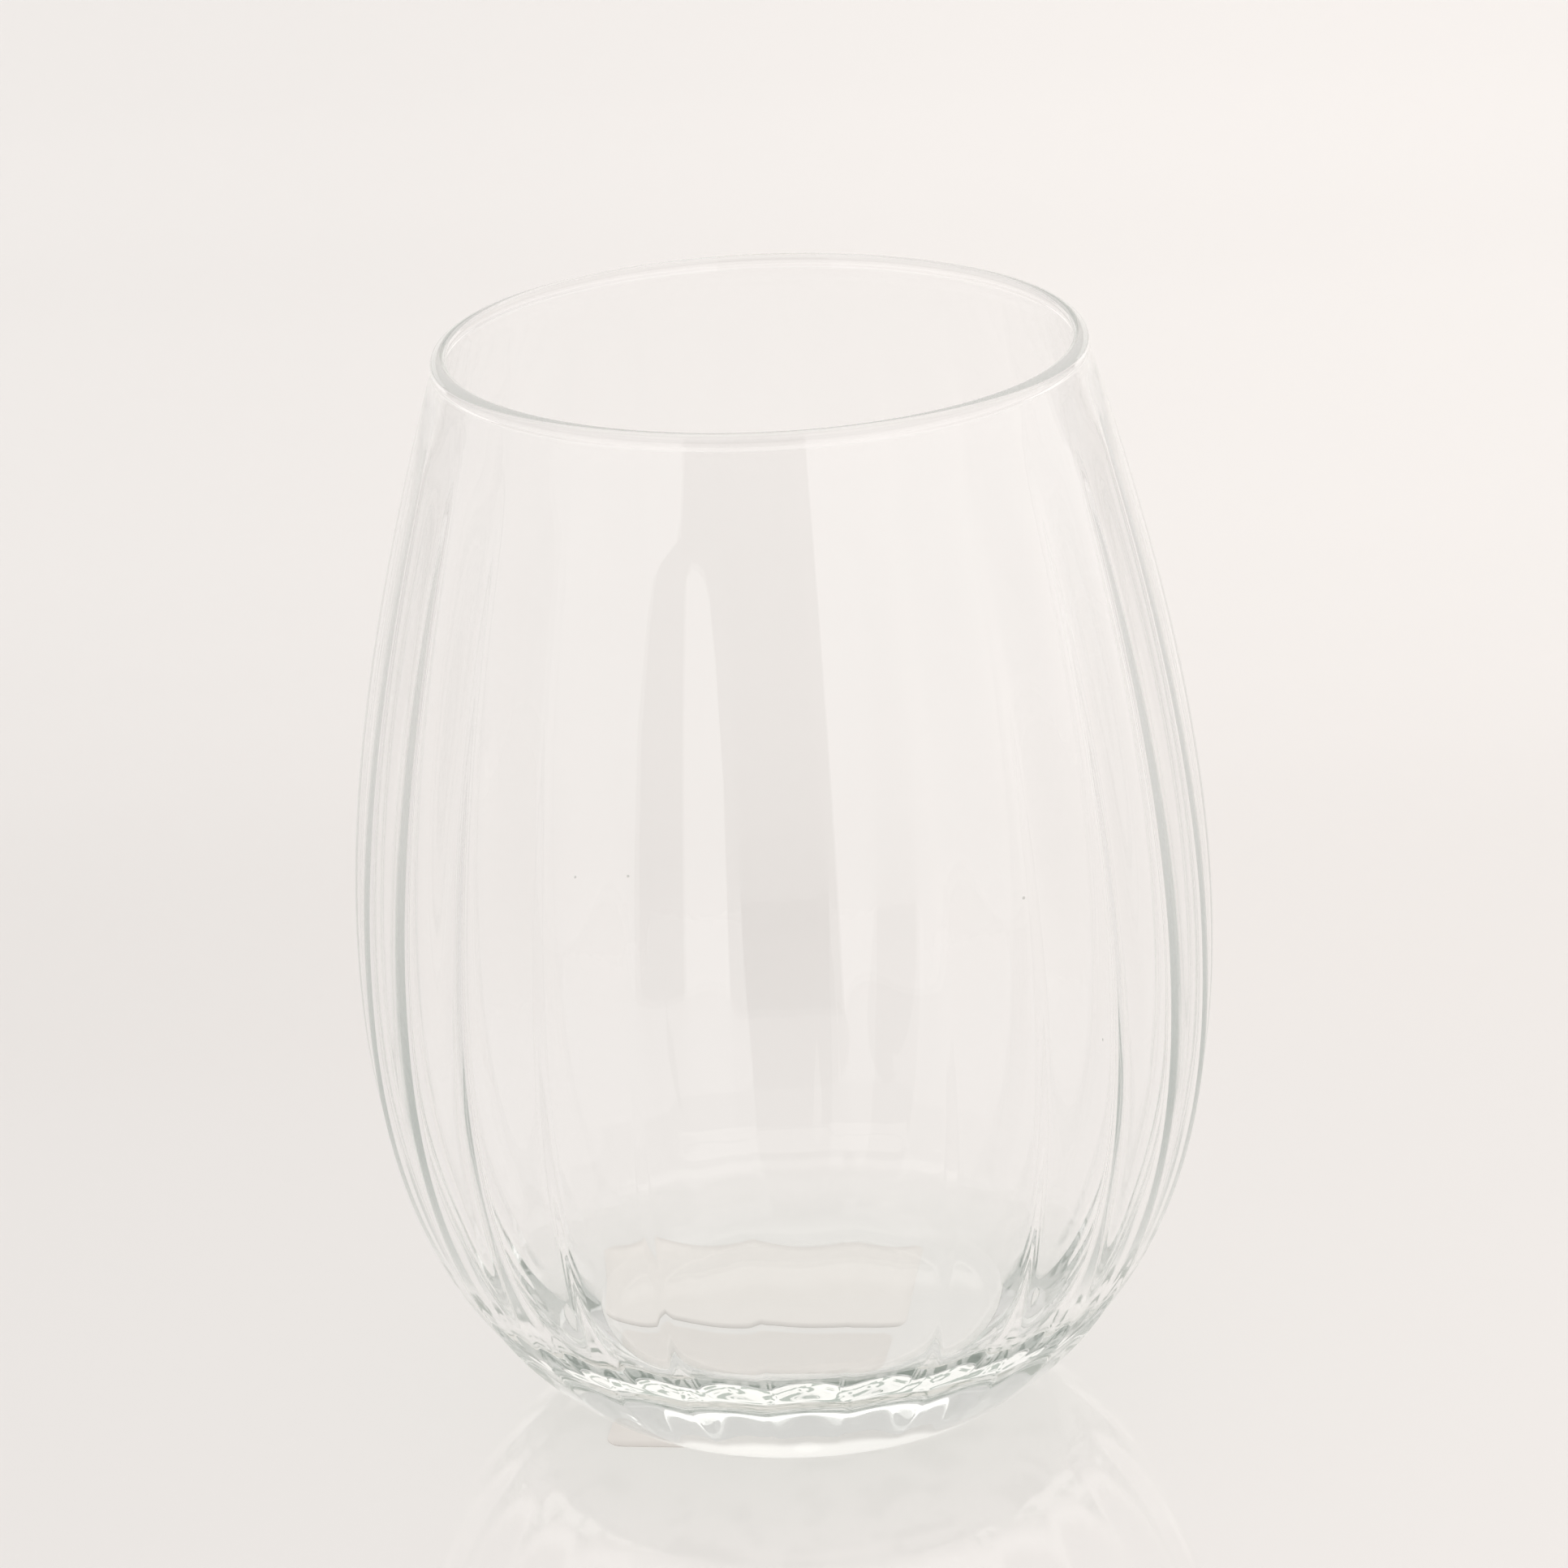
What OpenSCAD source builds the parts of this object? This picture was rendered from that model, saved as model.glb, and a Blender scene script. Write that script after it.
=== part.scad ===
// Clear stemless drinking glass with soft upright flutes, and the two blank paper labels under its foot.
// Millimetres. Z is up, the surface it stands on is z = 0, and -Y is the front.

/* [Glass] */
// overall height, from the underside of the labels to the top of the lip
height = 120; // [90:1:150]
// outside diameter at the widest part
belly_d = 94; // [70:1:120]
// height of the widest part above the surface
belly_z = 53; // [40:1:65]
// outside diameter at the rim
rim_d = 70; // [56:1:84]
// outside diameter of the flat foot
foot_d = 48.6; // [36:0.2:60]
// squareness of the lower bowl: 2 is an ellipse
bowl_power = 2.3; // [2:0.05:2.8]
// how early the wall turns in towards the rim
shoulder = 0.5; // [0:0.05:1.5]

/* [Wall] */
// wall thickness at the widest part
belly_wall = 1.8; // [1.4:0.1:3]
// wall thickness at the rim
rim_wall = 1.3; // [1:0.1:2.5]
// height of the rounded part of the lip
lip_h = 1.3; // [0.6:0.1:2]
// thickness of the glass in the lower bowl, measured downwards
heel_wall = 3; // [2:0.1:5]
// thickness of the glass under the middle of the inside floor
floor_t = 9.2; // [6:0.2:16]
// radius of the faintly dished inside floor
floor_dish = 800; // [200:20:2000]
// softness of the corner between the inside floor and the wall
floor_blend = 1.3; // [0.6:0.1:4]

/* [Flutes] */
// number of flutes around the glass
flute_count = 26; // [16:1:32]
// depth of a flute at the widest part
flute_depth = 0.64; // [0.2:0.02:0.8]
// direction of one ridge between two flutes, from +X towards +Y
flute_turn = -96.7; // [-104:0.1:-90]
// height of the plain band below the lip
plain_band = 6; // [3:0.5:12]
// height over which the flutes fade in below the plain band
flute_run = 14; // [5:0.5:24]
// roundness of the ridges between the flutes: 2 is a plain wave, 1 a sharp crest
ridge_round = 1.2; // [1:0.05:2]

/* [Labels] */
// width of the back label
label_w = 36.5; // [30:0.5:40]
// length of the back label, front to back
label_l = 25.2; // [20:0.2:30]
// width of the front label
front_w = 30.5; // [24:0.5:36]
// length of the front label, front to back
front_l = 13.8; // [10:0.2:18]
// gap between the two labels
label_gap = 2; // [1:0.1:4]
// radius of the labels' corners
label_corner = 2.2; // [1:0.1:4]
// thickness of the paper
label_t = 0.1; // [0.06:0.01:0.3]
// place of the back label's middle to the right of the glass's axis
label_x = -4.2; // [-6:0.1:2]
// place of the back label's middle behind the glass's axis
label_y = 7.4; // [4:0.1:9]
// how far the front label's middle lies to the right of the back label's
front_shift = 1; // [-3:0.1:3]
// turn of both labels about the back label's middle
label_turn = -8; // [-20:0.5:20]

/* [Hidden] */
$fn = 96;

belly_r = belly_d / 2;
rim_r = rim_d / 2;
foot_r = foot_d / 2;
lip_r = rim_wall / 2;
lip_z = height - lip_h;
bowl_h = belly_z - label_t;
// depth below the widest part at which the lower curve would close on the axis
bowl_depth = bowl_h / pow(1 - pow(foot_r / belly_r, bowl_power), 1 / bowl_power);
cavity_r = belly_r - belly_wall;
cavity_depth = bowl_depth - heel_wall;
flute_top = lip_z - plain_band;
// columns of the shell, four to a flute
columns = 4 * flute_count;
low_rows = 10;
high_rows = 9;
lip_rows = 6;
cavity_rows = 22;

// outside radius at a height, below and above the widest part
function low_r(z) = belly_r * pow(1 - pow((belly_z - z) / bowl_depth, bowl_power), 1 / bowl_power);
function high_u(z) = (z - belly_z) / (lip_z - belly_z);
function high_r(z) =
  let (u = high_u(z))
  belly_r - (belly_r - rim_r) * (1 + shoulder) * u * u / (1 + shoulder * u);
// wall thickness above the widest part
function wall(z) = belly_wall + (rim_wall - belly_wall) * pow(high_u(z), 2);
// the higher of two heights, with a soft corner where they cross
function soft_max(a, b) = (a + b + sqrt(pow(a - b, 2) + 4 * floor_blend * floor_blend)) / 2;
function floor_z(r) = label_t + floor_t + r * r / (2 * floor_dish);
// inside of the lower bowl by its slope angle: 90 at the widest part, 0 on the axis
function cavity_at(a) =
  let (r = cavity_r * pow(sin(a), 2 / bowl_power))
  let (z = belly_z - cavity_depth * pow(cos(a), 2 / bowl_power))
  [r, a > 89.9 ? belly_z : soft_max(floor_z(r), z)];

// profile as [radius, height]: up the outside, over the lip, down the inside to the floor
low_out = [for (i = [0:low_rows - 1]) let (z = label_t + bowl_h * pow(i / low_rows, 1.3)) [low_r(z), z]];
high_out = [for (i = [0:high_rows - 1]) let (z = belly_z + (lip_z - belly_z) * i / high_rows) [high_r(z), z]];
lip = [for (i = [0:lip_rows])
  let (a = 180 * i / lip_rows)
  [rim_r - lip_r + lip_r * cos(a), lip_z + lip_h * sin(a)]];
high_in = [for (i = [1:high_rows - 1])
  let (z = lip_z - (lip_z - belly_z) * i / high_rows)
  [high_r(z) - wall(z), z]];
low_in = [for (i = [0:cavity_rows - 1]) cavity_at(90 * (1 - i / cavity_rows))];
profile = concat(low_out, high_out, lip, high_in, low_in);

// how far the flutes have faded in at a height
function fade(z) =
  let (t = min(max((flute_top - z) / flute_run, 0), 1))
  t * t * (3 - 2 * t);
// one level row of the shell, with the flutes pressed in
function row(p) = [for (i = [0:columns - 1])
  let (a = 360 * i / columns)
  let (wave = pow((1 - cos(flute_count * a)) / 2, ridge_round / 2))
  let (dip = flute_depth / belly_r * fade(p[1]) * wave)
  let (r = p[0] * (1 - dip))
  [r * cos(a + flute_turn), r * sin(a + flute_turn), p[1]]];

module tumbler() {
  rows = len(profile);
  points = [for (p = profile) each row(p)];
  foot = [for (i = [0:columns - 1]) i];
  inner_floor = [for (i = [columns - 1:-1:0]) (rows - 1) * columns + i];
  sides = [for (j = [0:rows - 2]) for (i = [0:columns - 1])
    let (a = j * columns + i)
    let (b = j * columns + (i + 1) % columns)
    each [[a, a + columns, b], [b, a + columns, b + columns]]];
  color([0.86, 0.9, 0.88, 0.35])
  polyhedron(points, concat([foot, inner_floor], sides), convexity = 6);
}

// paper with round corners, its middle at the origin
module sheet(w, l) {
  linear_extrude(label_t) {
    square([w - 2 * label_corner, l], center = true);
    square([w, l - 2 * label_corner], center = true);
    for (sx = [-1, 1])
      for (sy = [-1, 1])
        translate([sx * (w / 2 - label_corner), sy * (l / 2 - label_corner)])
        circle(label_corner);
  }
}

module base_label() {
  color([0.93, 0.91, 0.89])
  translate([label_x, label_y, 0])
  rotate(label_turn)
  sheet(label_w, label_l);
}

module front_label() {
  color([0.9, 0.88, 0.86])
  translate([label_x, label_y, 0])
  rotate(label_turn)
  translate([front_shift, -(label_l + front_l) / 2 - label_gap, 0])
  sheet(front_w, front_l);
}

tumbler();
base_label();
front_label();
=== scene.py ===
import math

import bmesh
import bpy
from mathutils import Matrix, Vector


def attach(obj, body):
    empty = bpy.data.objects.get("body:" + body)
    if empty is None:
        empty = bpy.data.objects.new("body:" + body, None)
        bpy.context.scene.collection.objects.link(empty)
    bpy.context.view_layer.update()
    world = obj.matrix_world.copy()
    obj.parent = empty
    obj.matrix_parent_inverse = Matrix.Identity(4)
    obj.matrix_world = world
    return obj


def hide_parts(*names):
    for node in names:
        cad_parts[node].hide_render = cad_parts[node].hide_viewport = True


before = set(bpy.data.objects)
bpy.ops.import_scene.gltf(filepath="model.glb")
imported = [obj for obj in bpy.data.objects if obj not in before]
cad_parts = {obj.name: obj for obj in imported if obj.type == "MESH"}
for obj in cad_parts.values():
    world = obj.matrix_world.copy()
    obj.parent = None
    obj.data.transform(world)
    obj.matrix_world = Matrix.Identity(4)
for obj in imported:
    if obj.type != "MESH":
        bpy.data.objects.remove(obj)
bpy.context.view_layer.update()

scene = bpy.context.scene
mm = 0.001


def smoothStep(t):
    t = min(max(t, 0.0), 1.0)
    return t * t * (3 - 2 * t)


def placeObject(name, data, body=None):
    obj = bpy.data.objects.new(name, data)
    scene.collection.objects.link(obj)
    if body:
        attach(obj, body)
    return obj


# the turn that points a camera or lamp at a goal
def facing(place, goal):
    return (Vector(goal) - Vector(place)).to_track_quat("-Z", "Y").to_matrix().to_4x4()


# node helpers
def link(tree, a, b):
    tree.links.new(a, b)


def setInputs(node, values):
    for key, value in values.items():
        node.inputs[key].default_value = value


def newMaterial(name):
    mat = bpy.data.materials.new(name)
    mat.use_nodes = True
    return mat, mat.node_tree, mat.node_tree.nodes["Principled BSDF"]


def objectPlace(tree):
    return tree.nodes.new("ShaderNodeTexCoord").outputs["Object"]


def splitVector(tree, vector):
    node = tree.nodes.new("ShaderNodeSeparateXYZ")
    link(tree, vector, node.inputs[0])
    return node.outputs


def mathNode(tree, op, a, b=None):
    node = tree.nodes.new("ShaderNodeMath")
    node.operation = op
    for i, v in enumerate((a, b)):
        if v is None:
            continue
        if isinstance(v, (int, float)):
            node.inputs[i].default_value = v
        else:
            link(tree, v, node.inputs[i])
    return node.outputs[0]


def mapRange(tree, value, start, end, low=0.0, high=1.0, kind="LINEAR"):
    node = tree.nodes.new("ShaderNodeMapRange")
    node.interpolation_type = kind
    setInputs(node, {"From Min": start, "From Max": end, "To Min": low, "To Max": high})
    link(tree, value, node.inputs["Value"])
    return node.outputs["Result"]


def noise(tree, vector, scale, detail):
    node = tree.nodes.new("ShaderNodeTexNoise")
    setInputs(node, {"Scale": scale, "Detail": detail})
    link(tree, vector, node.inputs["Vector"])
    return node.outputs["Fac"]


def colourRamp(tree, value, stops):
    node = tree.nodes.new("ShaderNodeValToRGB")
    ramp = node.color_ramp.elements
    ramp.remove(ramp[-1])
    for i, (at, tone) in enumerate(stops):
        stop = ramp.new(at) if i else ramp[0]
        stop.position = at
        stop.color = tone + (1.0,)
    link(tree, value, node.inputs["Fac"])
    return node.outputs["Color"]


def mixColour(tree, factor, a, b):
    node = tree.nodes.new("ShaderNodeMix")
    node.data_type = "RGBA"
    for key, v in (("Factor", factor), ("A", a), ("B", b)):
        if isinstance(v, tuple):
            node.inputs[key].default_value = v + (1.0,)
        else:
            link(tree, v, node.inputs[key])
    return node.outputs["Result"]


# a plain shader whose colour is one tone or comes from other nodes
def plainShader(tree, kind, colour):
    node = tree.nodes.new("ShaderNodeBsdf" + kind)
    if isinstance(colour, tuple):
        node.inputs["Color"].default_value = colour + (1.0,)
    else:
        link(tree, colour, node.inputs["Color"])
    return node.outputs[0]


# half of each where no factor is given
def mixShader(tree, a, b, factor=None):
    node = tree.nodes.new("ShaderNodeMixShader")
    if factor is not None:
        link(tree, factor, node.inputs["Fac"])
    link(tree, a, node.inputs[1])
    link(tree, b, node.inputs[2])
    return node.outputs[0]


# shared shader group: fine specks on the glass and on the table
def speckGroup():
    tree = bpy.data.node_groups.new("fineSpecks", "ShaderNodeTree")
    tree.interface.new_socket("Vector", in_out="INPUT", socket_type="NodeSocketVector")
    tree.interface.new_socket("Scale", in_out="INPUT", socket_type="NodeSocketFloat")
    tree.interface.new_socket("Amount", in_out="INPUT", socket_type="NodeSocketFloat")
    tree.interface.new_socket("Mask", in_out="OUTPUT", socket_type="NodeSocketFloat")
    groupIn = tree.nodes.new("NodeGroupInput")
    groupOut = tree.nodes.new("NodeGroupOutput")
    cells = tree.nodes.new("ShaderNodeTexVoronoi")
    cells.feature = "F1"
    link(tree, groupIn.outputs["Vector"], cells.inputs["Vector"])
    link(tree, groupIn.outputs["Scale"], cells.inputs["Scale"])
    near = mathNode(tree, "LESS_THAN", cells.outputs["Distance"], groupIn.outputs["Amount"])
    link(tree, near, groupOut.inputs["Mask"])
    return tree


specks = speckGroup()


def dust(tree, vector, look):
    node = tree.nodes.new("ShaderNodeGroup")
    node.node_tree = specks
    setInputs(node, {"Scale": look["speckScale"], "Amount": look["speckSize"]})
    link(tree, vector, node.inputs["Vector"])
    return node.outputs["Mask"]


# camera
camera = {
    "lens": 178.2, "sensor": 36.0, "shift": 0.00343, "roll": -2.534,
    "place": (0.0, -0.7987, 0.3512), "aim": (0.0, 0.0, 0.06955),
}
camData = bpy.data.cameras.new("camera")
camData.sensor_width = camera["sensor"]
camData.lens = camera["lens"]
camData.shift_x = camera["shift"]
camObj = placeObject("camera", camData)
roll = Matrix.Rotation(math.radians(camera["roll"]), 4, "Z")
turn = facing(camera["place"], camera["aim"]) @ roll
camObj.matrix_world = Matrix.Translation(camera["place"]) @ turn
scene.camera = camObj
print("camera placed")


# glass, in millimetres and degrees
glass = {
    "height": 120.0, "bellyR": 47.0, "bellyZ": 53.0, "rimR": 35.0, "footR": 24.3, "footZ": 0.1,
    "power": 2.3, "shoulder": 0.5, "bellyWall": 1.8, "rimWall": 1.3, "heelWall": 3.0,
    "floorT": 9.2, "dish": 800.0, "blend": 2.0,
    "lipOut": 1.0, "lipIn": 0.6, "lipTop": 0.8, "neck": 0.9, "bead": 0.3,
    "flutes": 26, "depth": 0.64, "turn": -96.7, "ridge": 1.2, "perFlute": 16,
    "band": 4.0, "run": 10.0, "tipShare": 0.45, "deepRun": 48.0,  # flutes below the lip
    "footShare": 0.05, "heelRun": 12.0,  # outside, near the foot
    "floorShare": 0.5, "floorFrom": 20.0, "floorRun": 25.0,  # inside, near the floor
    "weld": 0.002,
}
# steps along each stretch of the profile, those above the foot set closer low down
glassRows = {"foot": 5, "low": 56, "high": 30, "neck": 6, "lipOut": 8, "lipIn": 6, "bowl": 90, "closer": 1.4}


# profile points hold the radius, the share of the flute depth and the height
def glassProfile(g, rows):
    p, belly, footZ = g["power"], g["bellyZ"], g["footZ"]
    lipZ, innerLipZ = g["height"] - g["lipOut"], g["height"] - g["lipIn"]
    topR = g["rimR"] - g["lipTop"]
    depth = (belly - footZ) / (1 - (g["footR"] / g["bellyR"]) ** p) ** (1 / p)
    innerR, innerDepth = g["bellyR"] - g["bellyWall"], depth - g["heelWall"]

    def low(z):
        return g["bellyR"] * (1 - ((belly - z) / depth) ** p) ** (1 / p)

    def high(z):
        u = (z - belly) / (lipZ - belly)
        return g["bellyR"] - (g["bellyR"] - g["rimR"]) * (1 + g["shoulder"]) * u * u / (1 + g["shoulder"] * u)

    def wall(z):
        return g["bellyWall"] + (g["rimWall"] - g["bellyWall"]) * ((z - belly) / (lipZ - belly)) ** 2

    def rising(share, t):
        return share + (1 - share) * smoothStep(t)

    def upperShare(z):
        down = lipZ - g["band"] - z
        tip, rest = smoothStep(down / g["run"]), smoothStep(down / g["deepRun"])
        return g["tipShare"] * tip + (1 - g["tipShare"]) * rest

    pts = [(g["footR"] * i / rows["foot"], g["footShare"], footZ) for i in range(rows["foot"])]
    for i in range(rows["low"]):  # outside, foot to belly
        z = footZ + (belly - footZ) * (i / rows["low"]) ** rows["closer"]
        pts.append((low(z), rising(g["footShare"], (z - footZ) / g["heelRun"]), z))
    neckZ = lipZ - g["neck"]
    for i in range(rows["high"]):  # outside, belly to neck
        z = belly + (neckZ - belly) * i / rows["high"]
        pts.append((high(z), upperShare(z), z))
    for i in range(rows["neck"]):  # swell of the lip
        z = neckZ + g["neck"] * i / rows["neck"]
        pts.append((high(z) + g["bead"] * smoothStep(i / rows["neck"]), 0.0, z))
    for i in range(rows["lipOut"] + 1):  # outer half of the lip
        a = math.pi / 2 * i / rows["lipOut"]
        pts.append((topR + (g["lipTop"] + g["bead"]) * math.cos(a), 0.0, lipZ + g["lipOut"] * math.sin(a)))
    lipWidth = topR - high(innerLipZ) + wall(innerLipZ)
    for i in range(1, rows["lipIn"] + 1):  # inner half of the lip
        a = math.pi / 2 * i / rows["lipIn"]
        pts.append((topR - lipWidth * math.sin(a), 0.0, innerLipZ + g["lipIn"] * math.cos(a)))
    for i in range(1, rows["high"]):  # inside, lip to belly
        z = innerLipZ - (innerLipZ - belly) * i / rows["high"]
        pts.append((high(z) - wall(z), upperShare(z), z))
    for i in range(rows["bowl"] + 1):  # inside, belly to the middle of the floor
        a = math.pi / 2 * (1 - i / rows["bowl"])
        r = innerR * math.sin(a) ** (2 / p)
        z = belly - innerDepth * max(math.cos(a), 0.0) ** (2 / p)
        floor = footZ + g["floorT"] + r * r / (2 * g["dish"])
        soft = (z + floor + math.sqrt((z - floor) ** 2 + 4 * g["blend"] ** 2)) / 2
        if i == 0:
            soft = belly
        pts.append((r, rising(g["floorShare"], (soft - g["floorFrom"]) / g["floorRun"]), soft))
    return pts


# turns the profile about the axis and presses the flutes in
def glassTree():
    tree = bpy.data.node_groups.new("flutedGlass", "GeometryNodeTree")
    face = tree.interface
    face.new_socket("Profile", in_out="INPUT", socket_type="NodeSocketGeometry")
    for name, kind in (
        ("Flutes", "Int"), ("Per flute", "Int"), ("Rows", "Int"), ("Depth", "Float"), ("Ridge", "Float"),
        ("Turn", "Float"), ("Weld", "Float"), ("Material", "Material"),
    ):
        face.new_socket(name, in_out="INPUT", socket_type="NodeSocket" + kind)
    face.new_socket("Geometry", in_out="OUTPUT", socket_type="NodeSocketGeometry")
    nodes = tree.nodes
    groupOut = nodes.new("NodeGroupOutput")
    given = nodes.new("NodeGroupInput").outputs

    def calc(op, a, b=None):
        return mathNode(tree, op, a, b)

    columns = calc("MULTIPLY", given["Flutes"], given["Per flute"])
    grid = nodes.new("GeometryNodeMeshGrid")
    link(tree, calc("ADD", columns, 1), grid.inputs["Vertices X"])
    link(tree, given["Rows"], grid.inputs["Vertices Y"])
    index = nodes.new("GeometryNodeInputIndex").outputs[0]
    column = calc("FLOOR", calc("DIVIDE", index, given["Rows"]))
    row = calc("SUBTRACT", index, calc("MULTIPLY", column, given["Rows"]))
    sample = nodes.new("GeometryNodeSampleIndex")
    sample.data_type = "FLOAT_VECTOR"
    sample.domain = "POINT"
    place = nodes.new("GeometryNodeInputPosition")
    link(tree, given["Profile"], sample.inputs["Geometry"])
    link(tree, place.outputs[0], sample.inputs["Value"])
    link(tree, row, sample.inputs["Index"])
    point = splitVector(tree, sample.outputs["Value"])
    angle = calc("MULTIPLY", calc("DIVIDE", column, columns), math.tau)
    swing = calc("COSINE", calc("MULTIPLY", angle, given["Flutes"]))
    wave = calc("MULTIPLY", calc("SUBTRACT", 1, swing), 0.5)
    crest = calc("POWER", wave, calc("MULTIPLY", given["Ridge"], 0.5))
    dip = calc("MULTIPLY", calc("MULTIPLY", crest, point["Y"]), given["Depth"])
    fluted = calc("MULTIPLY", point["X"], calc("SUBTRACT", 1, dip))
    turned = calc("ADD", angle, given["Turn"])
    join = nodes.new("ShaderNodeCombineXYZ")
    link(tree, calc("MULTIPLY", fluted, calc("COSINE", turned)), join.inputs["X"])
    link(tree, calc("MULTIPLY", fluted, calc("SINE", turned)), join.inputs["Y"])
    link(tree, point["Z"], join.inputs["Z"])
    move = nodes.new("GeometryNodeSetPosition")
    link(tree, grid.outputs["Mesh"], move.inputs["Geometry"])
    link(tree, join.outputs[0], move.inputs["Position"])
    weld = nodes.new("GeometryNodeMergeByDistance")
    smooth = nodes.new("GeometryNodeSetShadeSmooth")
    real = nodes.new("GeometryNodeRealizeInstances")
    paint = nodes.new("GeometryNodeSetMaterial")
    link(tree, move.outputs[0], weld.inputs["Geometry"])
    link(tree, given["Weld"], weld.inputs["Distance"])
    link(tree, weld.outputs[0], smooth.inputs[0])
    link(tree, smooth.outputs[0], real.inputs[0])
    link(tree, real.outputs[0], paint.inputs["Geometry"])
    link(tree, given["Material"], paint.inputs["Material"])
    link(tree, paint.outputs[0], groupOut.inputs["Geometry"])
    return tree


glassLook = {
    "ior": 1.51, "tint": (0.80, 0.845, 0.82), "density": 10.0,
    "clean": (1.0, 1.0, 1.0), "speck": (0.45, 0.46, 0.44), "speckScale": 60.0, "speckSize": 0.012,
    "through": (0.99, 0.995, 0.993), "innerTurns": 2.5,
    # tone of light led along the wall, by the share of the height
    "led": (
        (0.1, (0.92, 0.935, 0.925)), (0.16, (0.80, 0.825, 0.81)), (0.3, (0.59, 0.635, 0.615)),
        (0.55, (0.765, 0.785, 0.77)), (0.88, (0.905, 0.903, 0.893)), (0.985, (0.79, 0.81, 0.795)),
    ),
    "ledFrom": 18.0, "leavesBelow": 12.0,
    "patchScale": 240.0, "patchDetail": 1.0,
    # the patch values paint dark patches of shade into the light that leaves near the foot
    "patchFrom": 0.40, "patchTo": 0.48, "paintedPatchShade": (0.5, 0.55, 0.52),
}


def clearGlass(look):
    mat, tree, shader = newMaterial("clearGlass")
    setInputs(shader, {"Metallic": 0.0, "Transmission Weight": 1.0, "Roughness": 0.0, "IOR": look["ior"]})
    place = objectPlace(tree)
    height = splitVector(tree, place)["Z"]
    spots = dust(tree, place, look)
    link(tree, mixColour(tree, spots, look["clean"], look["speck"]), shader.inputs["Base Color"])
    absorb = tree.nodes.new("ShaderNodeVolumeAbsorption")
    setInputs(absorb, {"Color": look["tint"] + (1.0,), "Density": look["density"]})
    # light that has turned a few times inside gets a plain painted tone in the wall, set by height, and
    # leaves near the foot through painted dark patches
    path = tree.nodes.new("ShaderNodeLightPath").outputs
    share = mapRange(tree, height, 0.0, glass["height"] * mm)
    led = colourRamp(tree, share, look["led"])
    guided = mixShader(tree, plainShader(tree, "Diffuse", led), plainShader(tree, "Translucent", led))
    # painted shade: noise paints dark patches into the light that leaves near the foot
    paintedPatches = noise(tree, place, look["patchScale"], look["patchDetail"])
    bright = mapRange(tree, paintedPatches, look["patchFrom"], look["patchTo"], kind="SMOOTHSTEP")
    leaves = plainShader(tree, "Transparent", mixColour(tree, bright, look["paintedPatchShade"], look["clean"]))
    nearFoot = mapRange(tree, height, look["ledFrom"] * mm, look["leavesBelow"] * mm)
    deep = mathNode(tree, "GREATER_THAN", path["Glossy Depth"], look["innerTurns"])
    both = mixShader(tree, shader.outputs[0], mixShader(tree, guided, leaves, nearFoot), deep)
    # shadow and diffuse rays pass through to what lies under the glass
    lets = mathNode(tree, "MAXIMUM", path["Is Shadow Ray"], path["Is Diffuse Ray"])
    surface = mixShader(tree, both, plainShader(tree, "Transparent", look["through"]), lets)
    out = tree.nodes["Material Output"]
    link(tree, absorb.outputs[0], out.inputs["Volume"])
    link(tree, surface, out.inputs["Surface"])
    return mat


points = glassProfile(glass, glassRows)
steps = [(i, i + 1) for i in range(len(points) - 1)]
outline = bpy.data.meshes.new("glassOutline")
outline.from_pydata([(r * mm, share, z * mm) for r, share, z in points], steps, [])
seed = placeObject("glassSeed", outline)
nodesMod = seed.modifiers.new("flutedGlass", "NODES")
nodesMod.node_group = glassTree()
sockets = {
    "Flutes": glass["flutes"], "Per flute": glass["perFlute"], "Rows": len(points),
    "Depth": glass["depth"] / glass["bellyR"], "Ridge": glass["ridge"], "Turn": math.radians(glass["turn"]),
    "Weld": glass["weld"] * mm, "Material": clearGlass(glassLook),
}
for item in nodesMod.node_group.interface.items_tree:
    if item.in_out == "INPUT" and item.name in sockets:
        nodesMod[item.identifier] = sockets[item.name]
bpy.context.view_layer.update()
solid = bpy.data.meshes.new_from_object(seed.evaluated_get(bpy.context.evaluated_depsgraph_get()))
solid.name = "tumblerGlass"
seed.modifiers.remove(nodesMod)
bpy.data.objects.remove(seed)
work = bmesh.new()
work.from_mesh(solid)
bmesh.ops.recalc_face_normals(work, faces=work.faces)
openEdges = sum(not e.is_manifold for e in work.edges)
volumeMl = work.calc_volume(signed=True) / (10 * mm) ** 3
work.to_mesh(solid)
work.free()
tumbler = placeObject("tumblerGlass", solid, "root")
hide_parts("tumbler")
print("glass built", len(solid.polygons), "faces, open edges", openEdges, "volume ml", round(volumeMl, 1))


# labels, in millimetres and degrees; near, side, far and tone say how much painted shade darkens the edges
# and the middle
paper = {"thick": 0.1, "air": 0.02, "corner": 2.2, "cornerSteps": 8, "rim": 1.6, "turn": -8.0}
backLabel = {
    "width": 36.5, "length": 25.2, "x": -4.2, "y": 7.4,
    "near": 0.6, "side": 0.05, "far": 0.25, "tone": 0.0,
}
frontLabel = {
    "width": 30.5, "length": 13.8, "gap": 2.0, "shift": 1.0,
    "near": 0.38, "side": 0.2, "far": 0.16, "tone": 0.16,
}
paperLook = {
    "roughness": 0.55, "fibreScale": 900.0, "fibreDetail": 4.0,
    "streakScale": (90.0, 520.0, 90.0), "streakDetail": 5.0,
    # the last colour is painted shade for the label edges and the front label's middle
    "dark": (0.95, 0.905, 0.872), "light": (0.99, 0.945, 0.912), "edgeShade": (0.40, 0.37, 0.35),
    "bump": 0.15, "bumpDeep": 0.05,
}


# a point of the labels, both turned about the back label's middle
def onPaper(x, y):
    a = math.radians(paper["turn"])
    c, s = math.cos(a), math.sin(a)
    return c * x - s * y + backLabel["x"], s * x + c * y + backLabel["y"]


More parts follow.
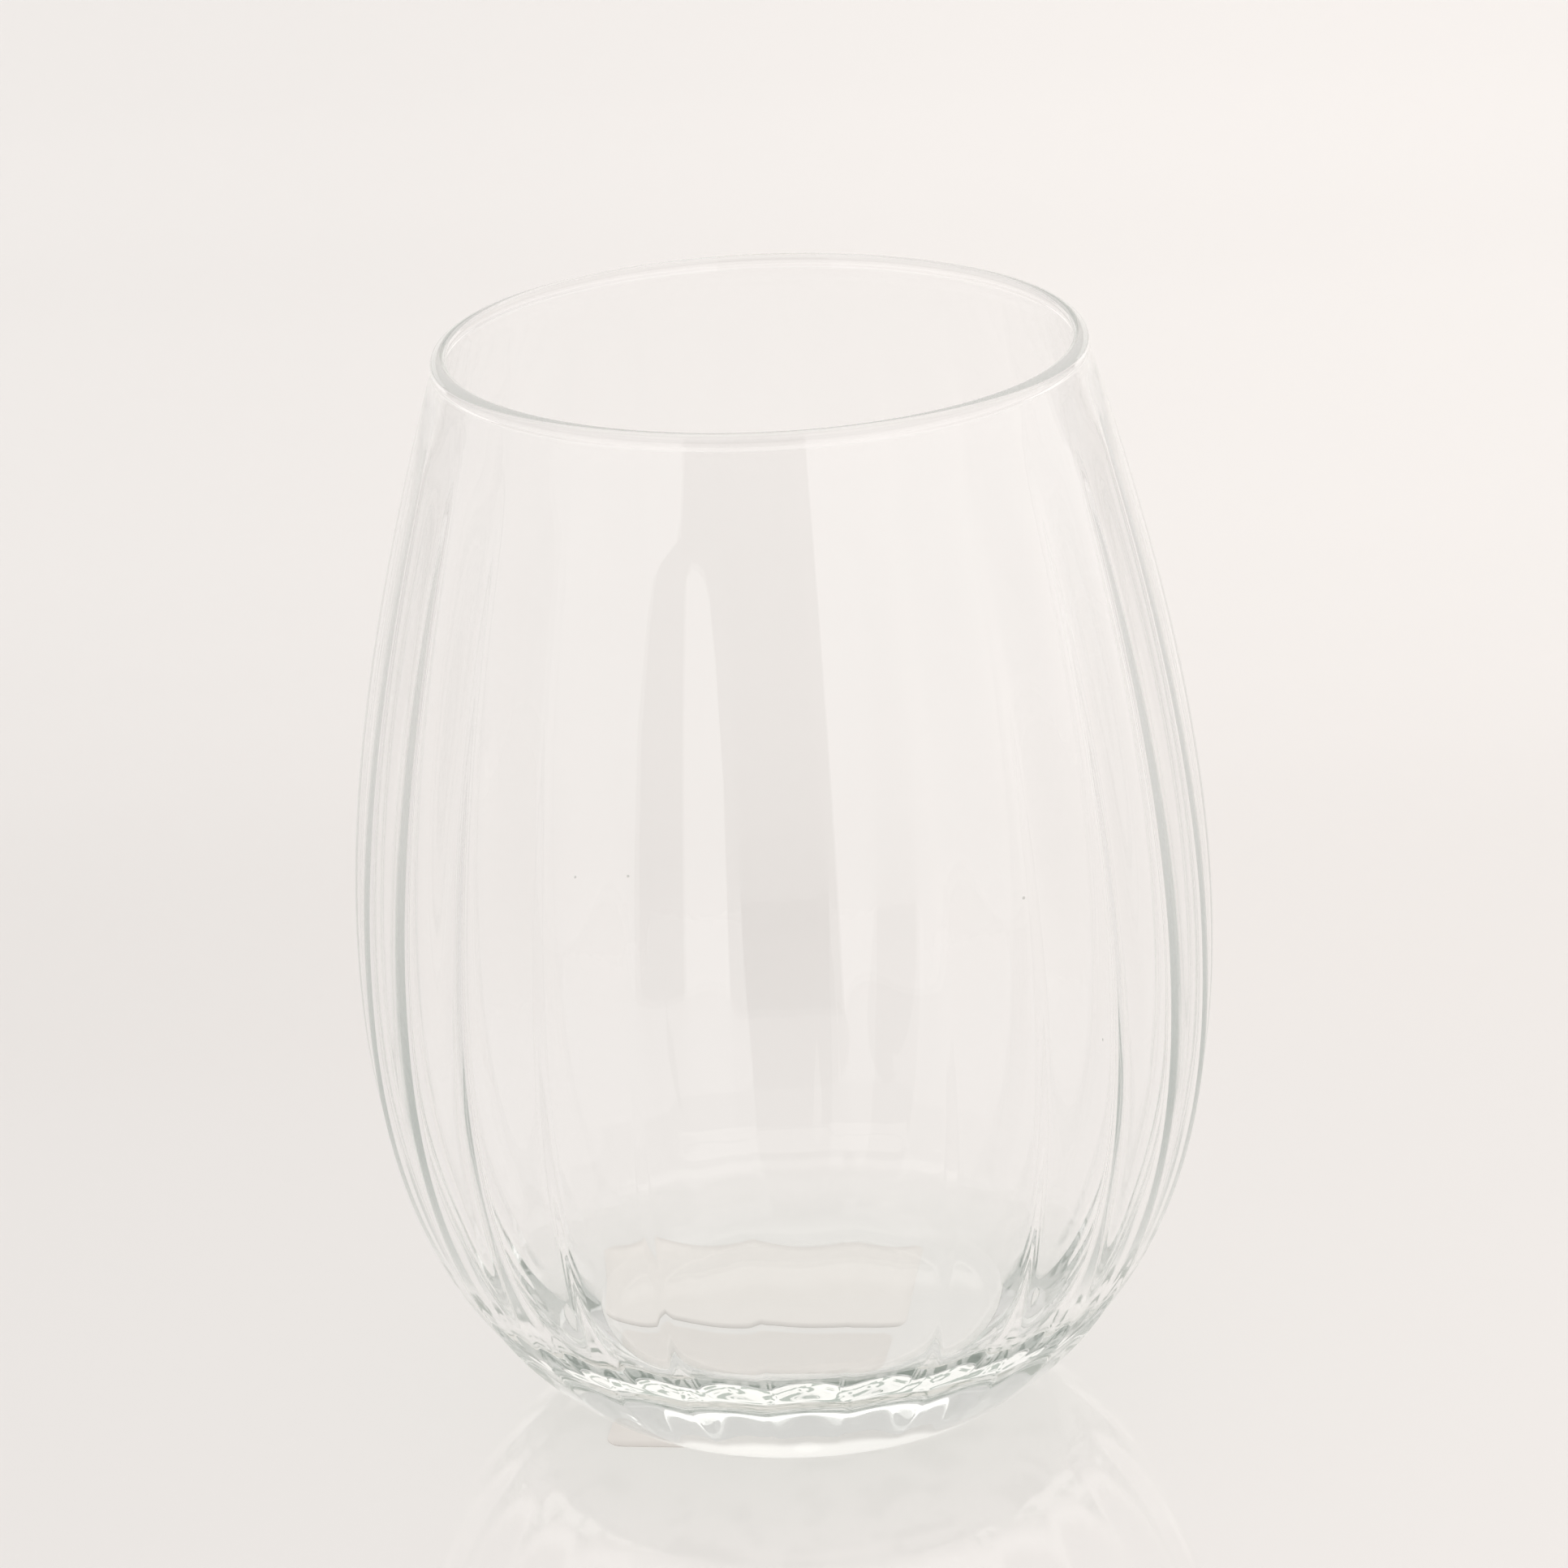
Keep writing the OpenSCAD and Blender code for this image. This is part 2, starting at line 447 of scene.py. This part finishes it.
def labelMesh(name, d, midX, midY):
    mesh = bpy.data.meshes.new(name)
    work = bmesh.new()
    edgeShade = work.verts.layers.float.new("edgeShade")
    corner, count = paper["corner"], paper["cornerSteps"]

    def ring(inset, z, rim):
        made = []
        for k, (sx, sy) in enumerate(((1, 1), (-1, 1), (-1, -1), (1, -1))):
            for i in range(count + 1):
                a = math.pi / 2 * (k + i / count)
                x = sx * (d["width"] / 2 - corner) + (corner - inset) * math.cos(a)
                y = sy * (d["length"] / 2 - corner) + (corner - inset) * math.sin(a)
                px, py = onPaper(midX + x, midY + y)
                vert = work.verts.new((px * mm, py * mm, z * mm))
                # painted shade: the near, side and far edges each get their own darkness, darkest on the near
                # edge, and the middle gets the tone
                shadeMark = d["side"] * math.cos(a) ** 2 + d["near" if sy < 0 else "far"] * math.sin(a) ** 2
                vert[edgeShade] = shadeMark if rim else d["tone"]
                made.append(vert)
        return made

    top = paper["thick"] - paper["air"]
    low = ring(0.0, 0.0, True)
    high = ring(0.0, top, True)
    middle = ring(paper["rim"], top, False)
    n = len(low)
    work.faces.new(list(reversed(low)))
    work.faces.new(middle)
    for a, b in ((low, high), (high, middle)):
        for i in range(n):
            work.faces.new((a[i], a[(i + 1) % n], b[(i + 1) % n], b[i]))
    work.to_mesh(mesh)
    work.free()
    return mesh


def labelPaper(look):
    mat, tree, shader = newMaterial("labelPaper")
    shader.inputs["Roughness"].default_value = look["roughness"]
    place = objectPlace(tree)
    stretch = tree.nodes.new("ShaderNodeMapping")
    stretch.inputs["Scale"].default_value = look["streakScale"]
    link(tree, place, stretch.inputs["Vector"])
    streaks = noise(tree, stretch.outputs[0], 1.0, look["streakDetail"])
    rim = tree.nodes.new("ShaderNodeAttribute")
    rim.attribute_name = "edgeShade"
    sheet = mixColour(tree, streaks, look["dark"], look["light"])
    # painted shade: the paper is mixed towards the grey-brown shade colour along the edges and over the front
    # label's middle
    link(tree, mixColour(tree, rim.outputs["Fac"], sheet, look["edgeShade"]), shader.inputs["Base Color"])
    bump = tree.nodes.new("ShaderNodeBump")
    setInputs(bump, {"Strength": look["bump"], "Distance": look["bumpDeep"] * mm})
    fibre = noise(tree, place, look["fibreScale"], look["fibreDetail"])
    link(tree, fibre, bump.inputs["Height"])
    link(tree, bump.outputs[0], shader.inputs["Normal"])
    return mat


paperMat = labelPaper(paperLook)
frontY = -(backLabel["length"] + frontLabel["length"]) / 2 - frontLabel["gap"]
for name, node, d, midX, midY in (
    ("backLabel", "base_label", backLabel, 0.0, 0.0),
    ("frontLabel", "front_label", frontLabel, frontLabel["shift"], frontY),
):
    sticker = placeObject(name, labelMesh(name, d, midX, midY), "root")
    sticker.data.materials.append(paperMat)
    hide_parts(node)
print("labels built")


# stage, in metres: a pale table that bends up behind, its front part, and a grey card
stage = {"front": -0.27, "back": 1.2, "side": 1.6, "bend": 0.4, "bendSteps": 12, "rise": 0.62, "near": -2.5}
tableLook = {
    # painted light: left, right and across make the table lighter to the right; farY to nearShare make it
    # lighter towards the front
    "left": (0.872, 0.858, 0.845), "right": (0.952, 0.930, 0.912), "paintedLightAcross": 0.16,
    "farY": 0.30, "nearY": 0.19, "farShare": 0.985, "nearShare": 1.04,
    "speck": (0.5, 0.48, 0.45), "speckScale": 28.0, "speckSize": 0.008,
    "finish": {
        "Roughness": 0.5, "Specular IOR Level": 0.3,
        "Coat Weight": 1.0, "Coat IOR": 1.56, "Coat Roughness": 0.06,
    },
}
frontCard = {
    "left": -0.79, "right": 0.385, "y": -1.52, "low": -0.45, "high": 1.2,
    "finish": {"Base Color": (0.42, 0.405, 0.39, 1.0), "Roughness": 0.9},
}


def paleTable(look):
    mat, tree, shader = newMaterial("paleTable")
    setInputs(shader, look["finish"])
    place = objectPlace(tree)
    spots = dust(tree, place, look)
    apart = splitVector(tree, place)
    # painted light: the table colour gets lighter to the right and towards the front, standing in for how the
    # light falls on it
    paintedLightAcross = mapRange(tree, apart["X"], -look["paintedLightAcross"], look["paintedLightAcross"], kind="SMOOTHSTEP")
    tone = mixColour(tree, paintedLightAcross, look["left"], look["right"])
    ends = (look["farY"], look["nearY"], look["farShare"], look["nearShare"])
    paintedLightForward = mapRange(tree, apart["Y"], *ends, kind="SMOOTHSTEP")
    lit = tree.nodes.new("ShaderNodeVectorMath")
    lit.operation = "SCALE"
    link(tree, tone, lit.inputs[0])
    link(tree, paintedLightForward, lit.inputs["Scale"])
    link(tree, mixColour(tree, spots, lit.outputs[0], look["speck"]), shader.inputs["Base Color"])
    return mat


def sweepMesh(d):
    line = [(d["front"], 0.0), (d["back"], 0.0)]
    for i in range(1, d["bendSteps"] + 1):
        a = math.pi / 2 * i / d["bendSteps"]
        line.append((d["back"] + d["bend"] * math.sin(a), d["bend"] * (1 - math.cos(a))))
    line.append((d["back"] + d["bend"], d["rise"]))
    mesh = bpy.data.meshes.new("table")
    verts = [(sx * d["side"], y, z) for y, z in line for sx in (-1, 1)]
    faces = [(2 * i, 2 * i + 1, 2 * i + 3, 2 * i + 2) for i in range(len(line) - 1)]
    mesh.from_pydata(verts, [], faces)
    return mesh


def flatSheet(name, low, high):
    mesh = bpy.data.meshes.new(name)
    (x0, y0, z0), (x1, y1, z1) = low, high
    mesh.from_pydata([low, (x1, y0, z0), high, (x0, y1, z1)], [], [(0, 1, 2, 3)])
    return placeObject(name, mesh)


floorMat = paleTable(tableLook)
table = placeObject("table", sweepMesh(stage))
table.data.materials.append(floorMat)
for face in table.data.polygons:
    face.use_smooth = True
apron = flatSheet("tableApron", (-stage["side"], stage["near"], 0), (stage["side"], stage["front"], 0))
apron.data.materials.append(floorMat)
apron.visible_glossy = False
apron.visible_transmission = False
cardLow = (frontCard["left"], frontCard["y"], frontCard["low"])
card = flatSheet("frontCard", cardLow, (frontCard["right"], frontCard["y"], frontCard["high"]))
cardMat, cardTree, cardShader = newMaterial("greyCard")
setInputs(cardShader, frontCard["finish"])
card.data.materials.append(cardMat)


# lights: turns in degrees from the front, sizes in metres
room = {"Color": (1.0, 0.97, 0.95, 1.0), "Strength": 0.73}
boxes = {
    "tint": (1.0, 0.975, 0.955), "away": 1.4, "mid": 0.3, "high": 1.5,
    # name, turn, width, radiance
    "around": (
        ("leftBox", -51.4, 1.245, 0.323), ("leftSide", -97.0, 1.11, 0.101),
        ("rightBox", 42.2, 1.489, 0.464), ("rightSide", 92.6, 1.154, 0.404),
    ),
}
backGlow = {"turn": 180.0, "width": 2.4, "high": 0.39, "radiance": 0.46, "fadeSteps": 4, "fadeStep": 0.02}
overhead = {
    "mid": 1.3, "width": 1.6, "radiance": 0.706,
    # name, turn, distance, depth
    "panels": (("topBack", 180.0, 0.38, 0.4), ("topFront", 0.0, 0.5, 0.7)),
}
lean = 1e-4  # keeps the turn of a lamp that looks straight down defined

world = bpy.data.worlds.new("room")
world.use_nodes = True
setInputs(world.node_tree.nodes["Background"], room)
scene.world = world


def softbox(name, azimuth, away, mid, size, radiance, down=False):
    data = bpy.data.lights.new(name, "AREA")
    data.shape = "RECTANGLE"
    data.size, data.size_y = size
    data.energy = radiance * math.pi * size[0] * size[1]
    data.color = boxes["tint"]
    obj = placeObject(name, data)
    a = math.radians(azimuth)
    spot = Vector((away * math.sin(a), -away * math.cos(a), mid))
    goal = (spot.x, spot.y + lean, 0.0) if down else (0.0, 0.0, mid)
    obj.matrix_world = Matrix.Translation(spot) @ facing(spot, goal)
    obj.visible_camera = False


for name, azimuth, width, radiance in boxes["around"]:
    softbox(name, azimuth, boxes["away"], boxes["mid"], (width, boxes["high"]), radiance)


def backStrip(name, low, high, radiance):
    size = (backGlow["width"], high)
    softbox(name, backGlow["turn"], boxes["away"], low + high / 2, size, radiance)


backStrip("backLow", 0.0, backGlow["high"], backGlow["radiance"])
for i in range(backGlow["fadeSteps"]):  # the back light fades upwards
    low = backGlow["high"] + backGlow["fadeStep"] * i
    left = 1 - (i + 0.5) / backGlow["fadeSteps"]
    backStrip("backFade%d" % i, low, backGlow["fadeStep"], backGlow["radiance"] * left)
for name, azimuth, away, depth in overhead["panels"]:
    softbox(name, azimuth, away, overhead["mid"], (overhead["width"], depth), overhead["radiance"], down=True)
scene.view_settings.view_transform = "Standard"
print("stage and lights set")
